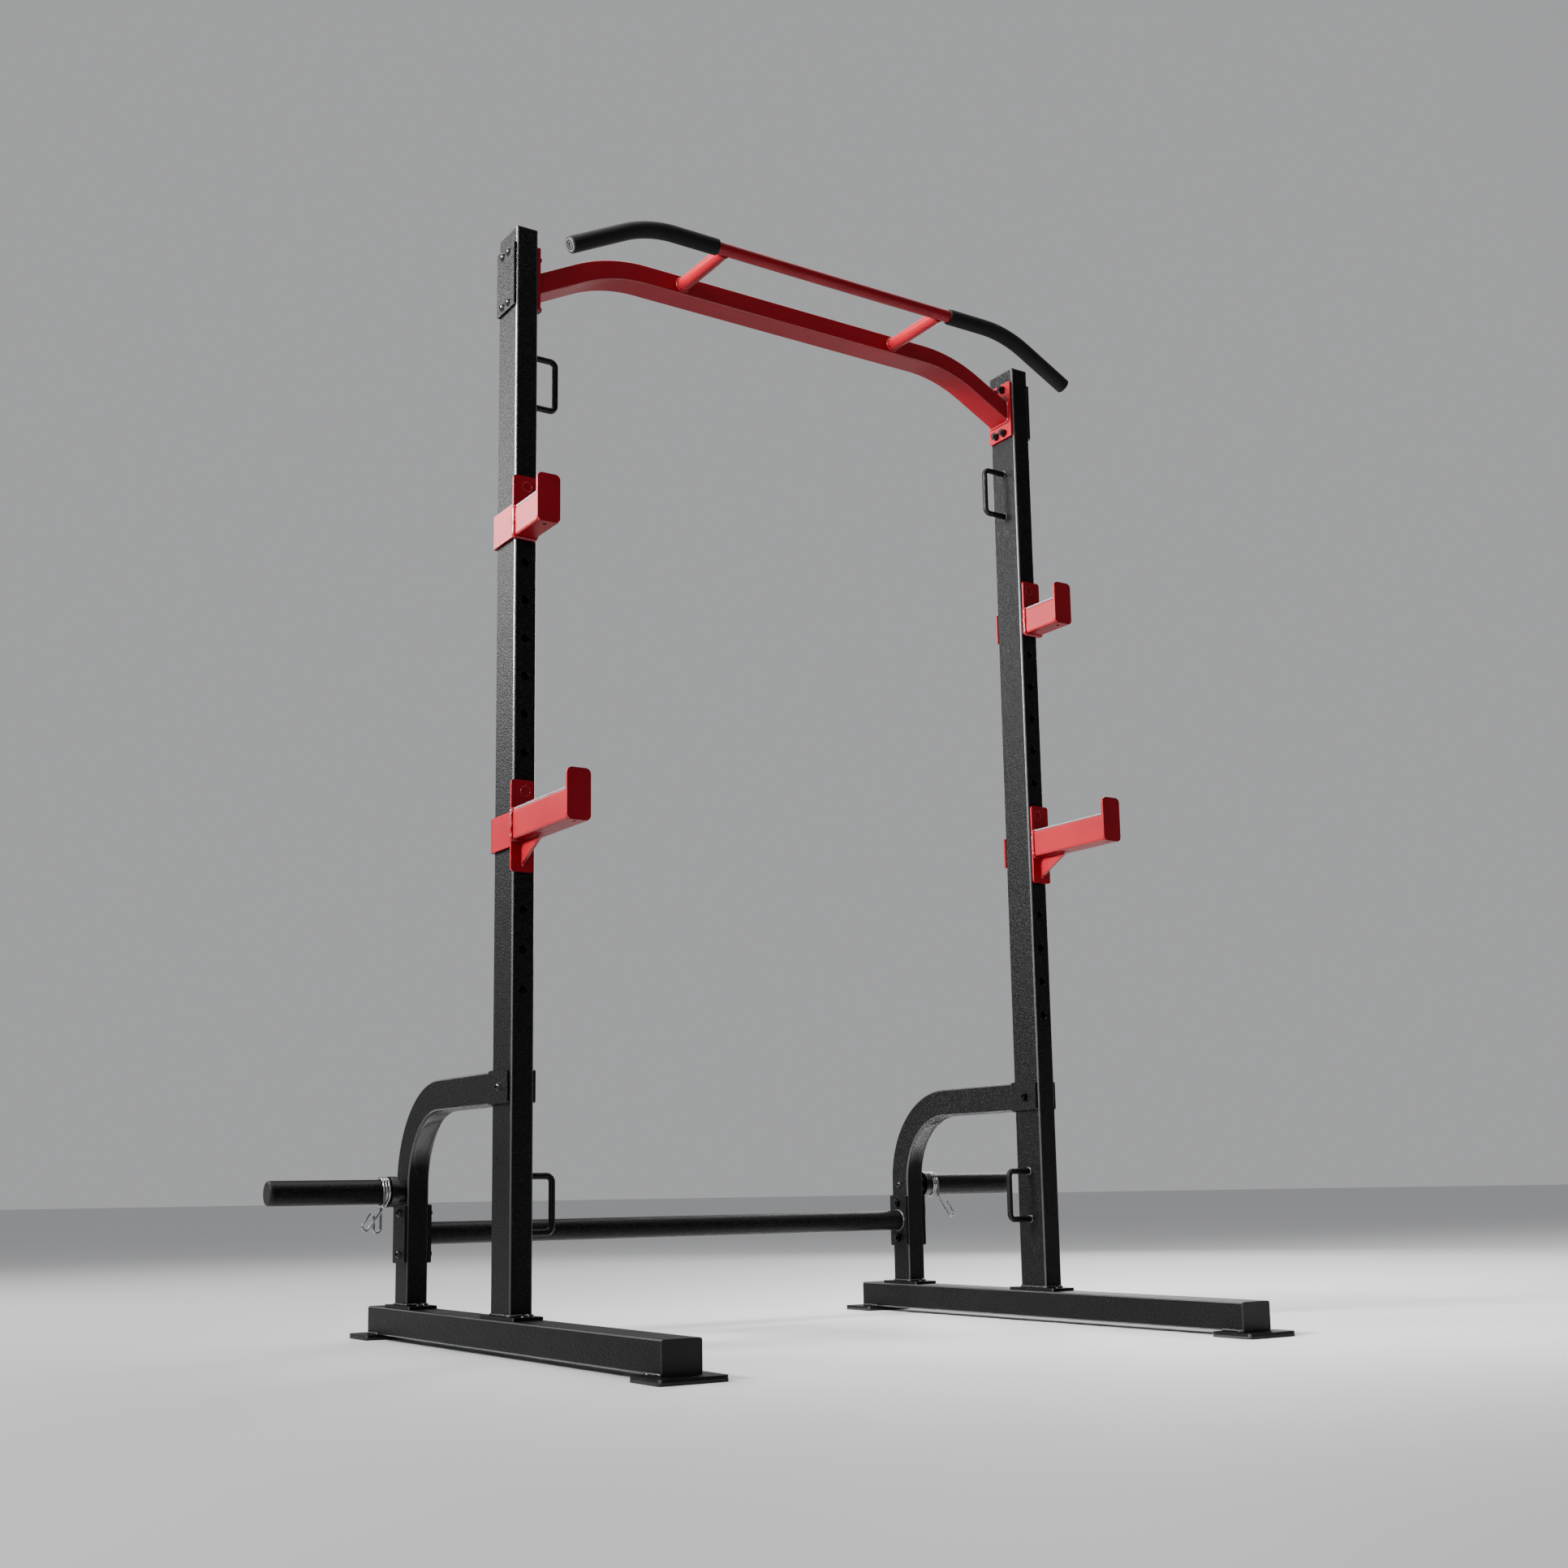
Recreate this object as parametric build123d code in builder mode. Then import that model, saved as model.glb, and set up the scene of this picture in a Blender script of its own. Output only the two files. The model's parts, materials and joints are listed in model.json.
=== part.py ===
"""Free-standing squat rack: two uprights on base tubes, a bent crossbar with a pull-up bar in front,
bent rear braces with weight posts, hook-in bar cups and spotter arms.

Millimetres, +Z up. X is the width, the cups face -Y, and the origin lies on the floor under the centre.
Pieces that come in pairs are drawn on the +X side and mirrored for the other side.
"""
import os
from math import cos, pi, radians, sin, sqrt, tan

from build123d import *

os.makedirs("parts", exist_ok=True)

# Feet and base tubes
pad_thickness = 5.0
foot_plate_thickness = 5.0
foot_width = 122.0
foot_length = 95.0
foot_overhang = 37.5
foot_corner = 8.0
base_width = 70.0
base_height = 54.0
base_length = 1200.0
base_wall = 3.0
base_corner = 4.5
base_cap_flange = 4.0

# Uprights and their adjustment holes
upright_spacing = 1220.0
upright_width = 45.0
upright_depth = 80.0
upright_length = 2032.0
upright_wall = 3.0
upright_corner = 5.0
upright_cap_flange = 3.0
hole_diameter = 16.0
hole_pitch = 72.5
hole_count = 14
first_hole_height = 570.5

# Footing plates that bolt the uprights and the rear braces to the base tubes
footing_thickness = 6.0
footing_width = 60.0
upright_footing_length = 140.0
upright_footing_bolt = 55.0
rear_footing_length = 125.0
rear_footing_bolt = 47.0

# Rear braces: one bent tube each, with a fork that hugs the upright
rear_offset = 462.5
brace_width = 45.0
brace_depth = 60.0
brace_wall = 3.0
brace_corner = 5.0
brace_height = 470.0
brace_bend_radius = 170.0
brace_crease_width = 32.0
brace_crease_depth = 2.0
brace_crease_sweep = 86.0
fork_back_thickness = 6.0
fork_side_thickness = 5.0
fork_side_length = 76.0
fork_gap = 0.3

# Lower cross tube between the rear braces
low_tube_diameter = 44.0
low_tube_wall = 2.5
low_tube_height = 207.5
low_plate_width = 60.0
low_plate_height = 114.0
low_plate_thickness = 6.0
low_backing_thickness = 5.0
low_bolt_offset = 40.0

# Bent crossbar between the uprights, with its clamp plates
crossbar_depth = 60.0
crossbar_height = 40.0
crossbar_wall = 3.0
crossbar_corner = 4.0
crossbar_bend_radius = 320.0
crossbar_bend_angle = 27.5
crossbar_drop = 82.0
clamp_width = 76.0
clamp_height = 130.0
clamp_top_gap = 30.5
clamp_thickness = 6.0
clamp_backing_thickness = 5.0
clamp_bolt_y = 13.0
clamp_bolt_z = 51.5
plate_corner = 4.0

# Pull-up bar on its two stubs, with foam grips and end plugs
bar_diameter = 25.0
bar_wall = 2.5
bar_reach = 197.0
bar_bend_start = 378.0
bar_bend_radius = 240.0
bar_bend_angle = 27.0
bar_tail = 123.0
stub_diameter = 28.0
stub_spacing = 524.0
stub_end_inset = 6.0
grip_diameter = 32.0
grip_gap = 6.0
grip_clearance = 0.15
grip_rounding = 3.0
plug_flange = 3.0

# Band handles on the inner faces of the uprights
handle_rod = 12.0
handle_reach = 55.5
handle_span = 100.0
handle_bend_radius = 11.0
upper_handle_gap = 79.5
lower_handle_rise = 192.0

# Weight posts on the rear braces
post_diameter = 48.3
post_wall = 3.0
post_backing_gap = 4.5
post_length = 241.0
post_flange_diameter = 60.0
post_flange_thickness = 15.0
post_neck_diameter = 40.0
post_neck_length = 14.5
post_cap_flange = 6.0
post_cap_rounding = 4.0

# Spring collars on the weight posts
wire_diameter = 5.0
collar_turns = 2.5
collar_turn_gap = 0.7
collar_post_gap = 0.4
collar_flange_gap = 0.4
collar_leg_drop = 72.0
collar_hook_rise = 26.0
collar_hook_radius = 7.0
collar_leg_straight = 26.0
collar_knee_radius = 12.0
collar_leg_lean = 37.0
collar_shin_length = 47.0

# Bar cups and spotter arms: a front plate, a wrap round the outer side and the back, an arm and a lip.
# Heights are measured down from the pin that enters the adjustment hole.
hook_plate = 5.0
hook_gap = 0.8
hook_inner_inset = 5.0
hook_corner = 6.0
hook_plate_rise = 20.0
hook_wrap_height = 64.0
hook_wrap_rounding = 5.0
hook_arm_wall = 4.0
hook_arm_inset = 1.0
hook_arm_height = 55.0
hook_arm_corner = 4.0
hook_lip_height = 92.0
hook_lip_thickness = 6.0
hook_lip_corner = 10.0
hook_drain_diameter = 8.0
hook_drain_inset = 12.0
pin_clearance = 0.4
liner_thickness = 3.0
liner_inset = 3.0
liner_clearance = 0.3

cup_plate_fall = 102.0
cup_wrap_fall = 101.0
cup_arm_fall = 100.0
cup_arm_length = 96.0
cup_pin_length = 26.0

spotter_plate_fall = 149.0
spotter_wrap_fall = 104.0
spotter_arm_fall = 92.0
spotter_arm_length = 218.0
spotter_pin_tail = 8.0
gusset_length = 85.0
gusset_height = 44.0
gusset_thickness = 6.0
# Holes left free below each spotter arm's pin
left_spotter_hole_count = 5
right_spotter_hole_count = 6

# Bolts, plugs and clearances
bolt_diameter = 10.0
bolt_clearance = 0.3
bolt_head_diameter = 17.0
bolt_head_height = 6.0
socket_across_flats = 6.0
socket_depth = 3.5
nut_across_flats = 16.0
nut_height = 8.0
bolt_tail = 4.0
post_bolt_depth = 14.0
cap_depth = 16.0
cap_clearance = 0.2

# Levels and places that follow from the sizes
base_bottom = pad_thickness + foot_plate_thickness
base_top = base_bottom + base_height
base_tube_length = base_length - 2 * base_cap_flange
upright_bottom = base_top + footing_thickness
upright_end = upright_bottom + upright_length
upright_top = upright_end + upright_cap_flange
upright_x = upright_spacing / 2
upright_inner_x = upright_x - upright_width / 2
upright_outer_x = upright_x + upright_width / 2
upright_front = -upright_depth / 2
upright_back = upright_depth / 2
hole_heights = [upright_bottom + first_hole_height + hole_pitch * i for i in range(hole_count)]
brace_inner_x = upright_x - brace_width / 2
brace_outer_x = upright_x + brace_width / 2
fork_back_y = upright_back + fork_gap
brace_end_y = fork_back_y + fork_back_thickness
low_bolt_heights = (low_tube_height - low_bolt_offset, low_tube_height + low_bolt_offset)
low_plate_x = brace_inner_x - low_plate_thickness
crossbar_z = upright_top - crossbar_height / 2
clamp_z = upright_top - clamp_top_gap - clamp_height / 2
clamp_face_x = upright_inner_x - clamp_thickness
upper_handle_height = clamp_z - clamp_height / 2 - upper_handle_gap - handle_span / 2
lower_handle_height = upright_bottom + lower_handle_rise
bar_y = -bar_reach
post_height = low_tube_height + low_plate_height / 2 + post_backing_gap + post_neck_diameter / 2
post_flange_x = brace_outer_x + post_neck_length
post_face_x = post_flange_x + post_flange_thickness
post_end_x = post_face_x + post_length
bolt_hole_radius = bolt_diameter / 2 + bolt_clearance
bolt_points = [(y, clamp_z + z) for y in (-clamp_bolt_y, clamp_bolt_y) for z in (-clamp_bolt_z, clamp_bolt_z)]


def save(piece, name):
    """Labels a finished piece and writes it."""
    piece.part.label = name
    export_step(piece.part, f"parts/{name}.step")


def save_pair(right, name):
    """Writes a piece drawn at +X as the right one, and its mirror image as the left one."""
    with BuildPart() as left:
        mirror(right.part, about=Plane.YZ)
    save(right, f"{name}_right")
    save(left, f"{name}_left")


def front_plane(origin):
    """A plane through a point, seen from the front: X to the right, Z up."""
    return Plane(origin=origin, x_dir=(1, 0, 0), z_dir=(0, -1, 0))


def side_plane(origin):
    """A plane through a point, square to X: Y to the right, Z up."""
    return Plane(origin=origin, x_dir=(0, 1, 0), z_dir=(1, 0, 0))


def slab(x_span, y_span, z_span, mode=Mode.ADD):
    """A block between pairs of limits."""
    spans = (x_span, y_span, z_span)
    with Locations(tuple((low + high) / 2 for low, high in spans)):
        Box(*(high - low for low, high in spans), mode=mode)


def cross_hole(x_span, y, z, radius):
    """A round hole along X."""
    with BuildSketch(Plane.YZ.offset(x_span[0])) as bore:
        with Locations((y, z)):
            Circle(radius)
    extrude(bore.sketch, amount=x_span[1] - x_span[0], mode=Mode.SUBTRACT)


def side_plate(x_span, y, z, width, height, holes):
    """An upright plate square to X, with bolt holes at (y, z) points."""
    with BuildSketch(Plane.YZ.offset(x_span[0])) as outline:
        with Locations((y, z)):
            RectangleRounded(width, height, plate_corner)
        with Locations(*holes):
            Circle(bolt_hole_radius, mode=Mode.SUBTRACT)
    extrude(outline.sketch, amount=x_span[1] - x_span[0])


def bolt(head, toward, grip, nut=True, tail=bolt_tail):
    """A domed bolt with a hexagon socket, whose head seats at a point, and the nut on its far side."""
    shank = bolt_diameter / 2
    reach = grip + (nut_height if nut else 0) + tail
    across = Vector(0, 1, 0)
    with BuildSketch(Plane(origin=head, x_dir=toward, z_dir=across.cross(Vector(toward)))) as half_profile:
        with BuildLine():
            dome = ThreePointArc(
                (-bolt_head_height, 0),
                (-0.72 * bolt_head_height, 0.62 * bolt_head_diameter / 2),
                (0, bolt_head_diameter / 2),
            )
            Polyline(dome @ 1, (0, shank), (reach, shank), (reach, 0), dome @ 0)
        make_face()
    revolve(half_profile.sketch, axis=Axis(head, toward))
    socket_floor = Vector(head) - Vector(toward) * (bolt_head_height - socket_depth)
    with BuildSketch(Plane(origin=socket_floor, z_dir=toward)) as socket:
        RegularPolygon(socket_across_flats / 2, 6, major_radius=False)
    extrude(socket.sketch, amount=-bolt_head_height, mode=Mode.SUBTRACT)
    if nut:
        with BuildSketch(Plane(origin=Vector(head) + Vector(toward) * grip, z_dir=toward)) as hexagon:
            RegularPolygon(nut_across_flats / 2, 6, major_radius=False)
        extrude(hexagon.sketch, amount=nut_height)


def bent_run(start, bend_radius, bend_angle, tail):
    """The right half of a bar's centre line in its own XZ plane: level, one bend down, then straight."""
    level = Line((0, 0), (start, 0))
    bend = JernArc(level @ 1, (1, 0), bend_radius, -bend_angle)
    return level, bend, Line(bend @ 1, bend @ 1 + (bend % 1) * tail)


# Base tubes, their end caps, and the plates and rubber pads under both ends
with BuildPart() as base_tube:
    with BuildSketch(Plane.XZ.offset(-base_tube_length / 2)):
        with Locations((upright_x, base_bottom + base_height / 2)):
            RectangleRounded(base_width, base_height, base_corner)
            RectangleRounded(
                base_width - 2 * base_wall, base_height - 2 * base_wall, base_corner - base_wall, mode=Mode.SUBTRACT
            )
    extrude(amount=base_tube_length)
    for centre, bolt_y in ((0, upright_footing_bolt), (rear_offset, rear_footing_bolt)):
        with BuildSketch(Plane.XY.offset(base_top)):
            with Locations((upright_x, centre - bolt_y), (upright_x, centre + bolt_y)):
                Circle(bolt_hole_radius)
        extrude(amount=-base_wall, mode=Mode.SUBTRACT)
save_pair(base_tube, "base_tube")

with BuildPart() as base_end_caps:
    for end in (-1, 1):
        tube_end = end * base_tube_length / 2
        with BuildSketch(Plane.XZ.offset(-tube_end)):
            with Locations((upright_x, base_bottom + base_height / 2)):
                RectangleRounded(base_width, base_height, base_corner)
        extrude(amount=-end * base_cap_flange)
        with BuildSketch(Plane.XZ.offset(-tube_end)):
            with Locations((upright_x, base_bottom + base_height / 2)):
                RectangleRounded(
                    base_width - 2 * (base_wall + cap_clearance),
                    base_height - 2 * (base_wall + cap_clearance),
                    base_corner - base_wall,
                )
        extrude(amount=end * cap_depth)
save_pair(base_end_caps, "base_end_caps")

foot_y = base_length / 2 + foot_overhang - foot_length / 2
for name, level, thickness in (
    ("foot_pads", 0, pad_thickness),
    ("foot_plates", pad_thickness, foot_plate_thickness),
):
    with BuildPart() as feet:
        with BuildSketch(Plane.XY.offset(level)):
            with Locations((upright_x, -foot_y), (upright_x, foot_y)):
                RectangleRounded(foot_width, foot_length, foot_corner)
        extrude(amount=thickness)
    save_pair(feet, name)

# Footing plates under the uprights and the rear braces
for name, centre, length, bolt_y in (
    ("upright_footing", 0, upright_footing_length, upright_footing_bolt),
    ("rear_footing", rear_offset, rear_footing_length, rear_footing_bolt),
):
    with BuildPart() as footing:
        with BuildSketch(Plane.XY.offset(base_top)):
            with Locations((upright_x, centre)):
                RectangleRounded(footing_width, length, plate_corner)
            with Locations((upright_x, centre - bolt_y), (upright_x, centre + bolt_y)):
                Circle(bolt_hole_radius, mode=Mode.SUBTRACT)
        extrude(amount=footing_thickness)
    save_pair(footing, name)

# Uprights: rectangular tube, adjustment holes front to back, bolt holes from side to side
with BuildPart() as upright:
    with BuildSketch(Plane.XY.offset(upright_bottom)):
        with Locations((upright_x, 0)):
            RectangleRounded(upright_width, upright_depth, upright_corner)
            RectangleRounded(
                upright_width - 2 * upright_wall,
                upright_depth - 2 * upright_wall,
                upright_corner - upright_wall,
                mode=Mode.SUBTRACT,
            )
    extrude(amount=upright_length)
    with BuildSketch(Plane.XZ.offset(upright_front)):
        with Locations(*((upright_x, height) for height in hole_heights)):
            Circle(hole_diameter / 2)
    extrude(amount=upright_depth, mode=Mode.SUBTRACT)
    for y, z in (*bolt_points, (0, brace_height)):
        cross_hole((upright_inner_x, upright_outer_x), y, z, bolt_hole_radius)
save_pair(upright, "upright")

with BuildPart() as upright_cap:
    with BuildSketch(Plane.XY.offset(upright_end)):
        with Locations((upright_x, 0)):
            RectangleRounded(upright_width, upright_depth, upright_corner)
    extrude(amount=upright_cap_flange)
    with BuildSketch(Plane.XY.offset(upright_end)):
        with Locations((upright_x, 0)):
            RectangleRounded(
                upright_width - 2 * (upright_wall + cap_clearance),
                upright_depth - 2 * (upright_wall + cap_clearance),
                upright_corner - upright_wall,
            )
    extrude(amount=-cap_depth)
save_pair(upright_cap, "upright_cap")

# Rear braces: up from the base, then forward to the upright in one bend.
# The bend's inner wall is pressed in to a shallow crease that runs out towards both ends.
crease_way = Vector(0, 1, 1).normalized()
crease_shift = brace_crease_depth / (1 - cos(radians(brace_crease_sweep / 2)))
crease_radius = brace_bend_radius - brace_depth / 2 - crease_shift
bend_pivot = Vector(upright_x, rear_offset - brace_bend_radius, brace_height - brace_bend_radius)
crease_pivot = bend_pivot + crease_way * crease_shift
with BuildPart() as rear_brace:
    with BuildLine(Plane.YZ.offset(upright_x)) as brace_path:
        rise = Line((rear_offset, upright_bottom), (rear_offset, brace_height - brace_bend_radius))
        bend = JernArc(rise @ 1, (0, 1), brace_bend_radius, 90)
        Line(bend @ 1, (brace_end_y, brace_height))
    with BuildSketch(Plane.XY.offset(upright_bottom)):
        with Locations((upright_x, rear_offset)):
            RectangleRounded(brace_width, brace_depth, brace_corner)
            RectangleRounded(
                brace_width - 2 * brace_wall,
                brace_depth - 2 * brace_wall,
                brace_corner - brace_wall,
                mode=Mode.SUBTRACT,
            )
    sweep(path=brace_path.line)
    for z in (*low_bolt_heights, post_height):
        cross_hole((brace_inner_x, brace_outer_x), rear_offset, z, bolt_hole_radius)
    with BuildSketch(Plane(origin=crease_pivot + crease_way * crease_radius, x_dir=(1, 0, 0), z_dir=(0, -1, 1))):
        Ellipse(brace_crease_width / 2, brace_crease_depth)
    revolve(axis=Axis(crease_pivot, (1, 0, 0)), mode=Mode.SUBTRACT)
save_pair(rear_brace, "rear_brace")

fork_half = upright_width / 2 + fork_gap + fork_side_thickness
fork_span = (upright_x - fork_half, upright_x + fork_half)
with BuildPart() as brace_fork:
    z_span = (brace_height - brace_depth / 2, brace_height + brace_depth / 2)
    slab(fork_span, (fork_back_y, brace_end_y), z_span)
    for side in (-1, 1):
        x = upright_x + side * (fork_half - fork_side_thickness / 2)
        half = fork_side_thickness / 2
        slab((x - half, x + half), (fork_back_y - fork_side_length, fork_back_y), z_span)
    fillet(brace_fork.edges().filter_by(Axis.X).group_by(Axis.Y)[0], plate_corner)
    fillet(brace_fork.edges().filter_by(Axis.Z).sort_by(Axis.Y)[-2:], 0.6 * fork_side_thickness)
    cross_hole(fork_span, 0, brace_height, bolt_hole_radius)
save_pair(brace_fork, "brace_fork")

# Lower cross tube with its end plates, and the backing plates outside the rear braces
with BuildPart() as lower_cross_tube:
    with BuildSketch(Plane.YZ.offset(-low_plate_x)):
        with Locations((rear_offset, low_tube_height)):
            Circle(low_tube_diameter / 2)
            Circle(low_tube_diameter / 2 - low_tube_wall, mode=Mode.SUBTRACT)
    extrude(amount=2 * low_plate_x)
save(lower_cross_tube, "lower_cross_tube")

for name, x_span in (
    ("lower_end_plate", (low_plate_x, brace_inner_x)),
    ("lower_backing_plate", (brace_outer_x, brace_outer_x + low_backing_thickness)),
):
    with BuildPart() as low_plate:
        holes = [(rear_offset, z) for z in low_bolt_heights]
        side_plate(x_span, rear_offset, low_tube_height, low_plate_width, low_plate_height, holes)
    save_pair(low_plate, name)

# Crossbar: level in the middle, bent down to the end plates, cut square to the uprights
crossbar_slope = radians(crossbar_bend_angle)
crossbar_bend_run = crossbar_bend_radius * sin(crossbar_slope)
crossbar_bend_fall = crossbar_bend_radius * (1 - cos(crossbar_slope))
crossbar_straight_run = (crossbar_drop - crossbar_bend_fall) / tan(crossbar_slope)
crossbar_bend_start = clamp_face_x - crossbar_bend_run - crossbar_straight_run
crossbar_tail = crossbar_straight_run / cos(crossbar_slope) + crossbar_height
with BuildPart() as crossbar:
    with BuildLine(front_plane((0, 0, crossbar_z))) as crossbar_path:
        bent_run(crossbar_bend_start, crossbar_bend_radius, crossbar_bend_angle, crossbar_tail)
    with BuildSketch(side_plane((0, 0, crossbar_z))):
        RectangleRounded(crossbar_depth, crossbar_height, crossbar_corner)
        RectangleRounded(
            crossbar_depth - 2 * crossbar_wall,
            crossbar_height - 2 * crossbar_wall,
            crossbar_corner - 0.8 * crossbar_wall,
            mode=Mode.SUBTRACT,
        )
    sweep(path=crossbar_path.line)
    split(bisect_by=Plane.YZ.offset(clamp_face_x), keep=Keep.BOTTOM)
    mirror(about=Plane.YZ)
save(crossbar, "crossbar")

for name, x_span in (
    ("crossbar_end_plate", (clamp_face_x, upright_inner_x)),
    ("crossbar_backing_plate", (upright_outer_x, upright_outer_x + clamp_backing_thickness)),
):
    with BuildPart() as clamp_plate:
        side_plate(x_span, 0, clamp_z, clamp_width, clamp_height, bolt_points)
    save_pair(clamp_plate, name)

# Pull-up bar in front of the crossbar, on two stubs coped to it
bar_frame = front_plane((0, bar_y, crossbar_z))
with BuildPart() as pull_up_bar:
    with BuildLine(bar_frame) as bar_path:
        bent_run(bar_bend_start, bar_bend_radius, bar_bend_angle, bar_tail)
    with BuildSketch(side_plane((0, bar_y, crossbar_z))):
        Circle(bar_diameter / 2)
        Circle(bar_diameter / 2 - bar_wall, mode=Mode.SUBTRACT)
    sweep(path=bar_path.line)
    mirror(about=Plane.YZ)
save(pull_up_bar, "pull_up_bar")

with BuildPart() as bar_stub:
    with BuildSketch(Plane.XZ.offset(crossbar_depth / 2)):
        with Locations((stub_spacing / 2, crossbar_z)):
            Circle(stub_diameter / 2)
    extrude(amount=bar_reach - crossbar_depth / 2 - stub_end_inset)
    with BuildSketch(Plane.YZ.offset(stub_spacing / 2)):
        with Locations((bar_y, crossbar_z)):
            Circle(bar_diameter / 2)
    extrude(amount=stub_diameter, both=True, mode=Mode.SUBTRACT)
save_pair(bar_stub, "bar_stub")

# Foam grips over both bent ends, flush with the end plugs
grip_start = stub_spacing / 2 + stub_diameter / 2 + grip_gap
with BuildPart() as grip:
    with BuildLine(bar_frame) as grip_path:
        grip_level = Line((grip_start, 0), (bar_bend_start, 0))
        grip_bend = JernArc(grip_level @ 1, (1, 0), bar_bend_radius, -bar_bend_angle)
        Line(grip_bend @ 1, grip_bend @ 1 + (grip_bend % 1) * (bar_tail + plug_flange))
    with BuildSketch(side_plane((grip_start, bar_y, crossbar_z))):
        Circle(grip_diameter / 2)
        Circle(bar_diameter / 2 + grip_clearance, mode=Mode.SUBTRACT)
    sweep(path=grip_path.line)
    rims = grip.edges().filter_by(GeomType.CIRCLE).filter_by(lambda e: abs(e.radius - grip_diameter / 2) < 0.01)
    fillet(ShapeList([rims.sort_by(Axis.X)[0], rims.sort_by(Axis.X)[-1]]), grip_rounding)
save_pair(grip, "grip")

with BuildPart() as bar_plugs:
    bar_end = bar_path.line @ 1
    outward = bar_path.line % 1
    with BuildSketch(Plane(origin=bar_end, z_dir=outward)):
        Circle(bar_diameter / 2)
    extrude(amount=plug_flange)
    with BuildSketch(Plane(origin=bar_end, z_dir=outward)):
        Circle(bar_diameter / 2 - bar_wall - cap_clearance)
    extrude(amount=-cap_depth)
    mirror(about=Plane.YZ)
save(bar_plugs, "bar_plugs")

# Band handles: bent rod on the inner faces of the uprights, near the top and near the base
for name, height in (("band_handle_upper", upper_handle_height), ("band_handle_lower", lower_handle_height)):
    with BuildPart() as band_handle:
        reach = upright_inner_x - handle_reach
        low, high = height - handle_span / 2, height + handle_span / 2
        with BuildLine(Plane.XZ) as handle_path:
            FilletPolyline(
                (upright_inner_x, low), (reach, low), (reach, high), (upright_inner_x, high),
                radius=handle_bend_radius,
            )
        with BuildSketch(Plane.YZ.offset(upright_inner_x)):
            with Locations((0, low)):
                Circle(handle_rod / 2)
        sweep(path=handle_path.line)
    save_pair(band_handle, name)

# Weight posts: a neck and flange bolted to the brace, the tube on it, and a rounded cap in the open end
post_tube_end = post_end_x - post_cap_flange
with BuildPart() as post_flange:
    with BuildSketch(Plane.YZ.offset(brace_outer_x)):
        with Locations((rear_offset, post_height)):
            Circle(post_neck_diameter / 2)
    extrude(amount=post_neck_length)
    with BuildSketch(Plane.YZ.offset(post_flange_x)):
        with Locations((rear_offset, post_height)):
            Circle(post_flange_diameter / 2)
    extrude(amount=post_flange_thickness)
    bore_end_x = brace_outer_x + post_bolt_depth + bolt_clearance
    cross_hole((brace_outer_x, bore_end_x), rear_offset, post_height, bolt_hole_radius)
save_pair(post_flange, "post_flange")

with BuildPart() as weight_post:
    with BuildSketch(Plane.YZ.offset(post_face_x)):
        with Locations((rear_offset, post_height)):
            Circle(post_diameter / 2)
            Circle(post_diameter / 2 - post_wall, mode=Mode.SUBTRACT)
    extrude(amount=post_tube_end - post_face_x)
save_pair(weight_post, "weight_post")

with BuildPart() as post_cap:
    with BuildSketch(Plane.YZ.offset(post_tube_end)):
        with Locations((rear_offset, post_height)):
            Circle(post_diameter / 2)
    extrude(amount=post_cap_flange)
    fillet(post_cap.edges().sort_by(Axis.X)[-1], post_cap_rounding)
    with BuildSketch(Plane.YZ.offset(post_tube_end)):
        with Locations((rear_offset, post_height)):
            Circle(post_diameter / 2 - post_wall - cap_clearance)
    extrude(amount=-cap_depth)
save_pair(post_cap, "post_cap")

# Spring collars: a wound wire whose two ends hang down as finger hooks.
# The wire comes up behind the post, winds outward, and leaves in front of it.
coil_radius = post_diameter / 2 + collar_post_gap + wire_diameter / 2
coil_pitch = wire_diameter + collar_turn_gap
coil_start_x = post_face_x + collar_flange_gap + wire_diameter / 2
coil_end_x = coil_start_x + coil_pitch * collar_turns


def coil_point(turn):
    """A point of the winding and its direction, turns counted from behind the post. Both ends point down."""
    angle = 2 * pi * turn
    place = Vector(
        coil_start_x + coil_pitch * turn,
        rear_offset + coil_radius * cos(angle),
        post_height + coil_radius * sin(angle),
    )
    advance = coil_pitch / (2 * pi) if 0 < turn < collar_turns else 0
    heading = Vector(advance, -coil_radius * sin(angle), coil_radius * cos(angle))
    return place, heading.normalized()


def biarc(start, start_heading, end, end_heading):
    """Two arcs that meet smoothly between two points with given directions."""
    chord = end - start
    both = start_heading + end_heading
    spread = 2 * (1 - start_heading.dot(end_heading))
    along = chord.dot(both)
    reach = (sqrt(along**2 + spread * chord.dot(chord)) - along) / spread
    near, far = start + start_heading * reach, end - end_heading * reach
    middle = (near + far) * 0.5
    TangentArc(start, middle, tangent=start_heading)
    TangentArc(middle, end, tangent=far - near)


def turn_back(run, side, radius):
    """A half turn at the end of a straight run, towards one side, and the short way back."""
    start, heading = run @ 1, run % 1
    turn = ThreePointArc(start, start + (heading + side) * radius, start + side * 2 * radius)
    Line(turn @ 1, turn @ 1 - heading * collar_hook_rise)


first, first_heading = coil_point(0)
last, last_heading = coil_point(collar_turns)
with BuildLine(front_plane(first)) as inner_leg:
    leg = Line(first, first - first_heading * collar_leg_drop)
    turn_back(leg, Vector(1, 0, 0), collar_hook_radius)

with BuildLine() as winding:
    for quarter in range(round(4 * collar_turns)):
        here, heading = coil_point(quarter / 4)
        there, next_heading = coil_point((quarter + 1) / 4)
        biarc(here, heading, there, next_heading)

with BuildLine(front_plane(last)) as outer_leg:
    leg = Line(last, last + last_heading * collar_leg_straight)
    knee = JernArc(leg @ 1, leg % 1, collar_knee_radius, collar_leg_lean)
    shin = Line(knee @ 1, knee @ 1 + (knee % 1) * collar_shin_length)
    lean = shin % 1
    turn_back(shin, Vector(-lean.Z, 0, lean.X), collar_hook_radius)

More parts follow.
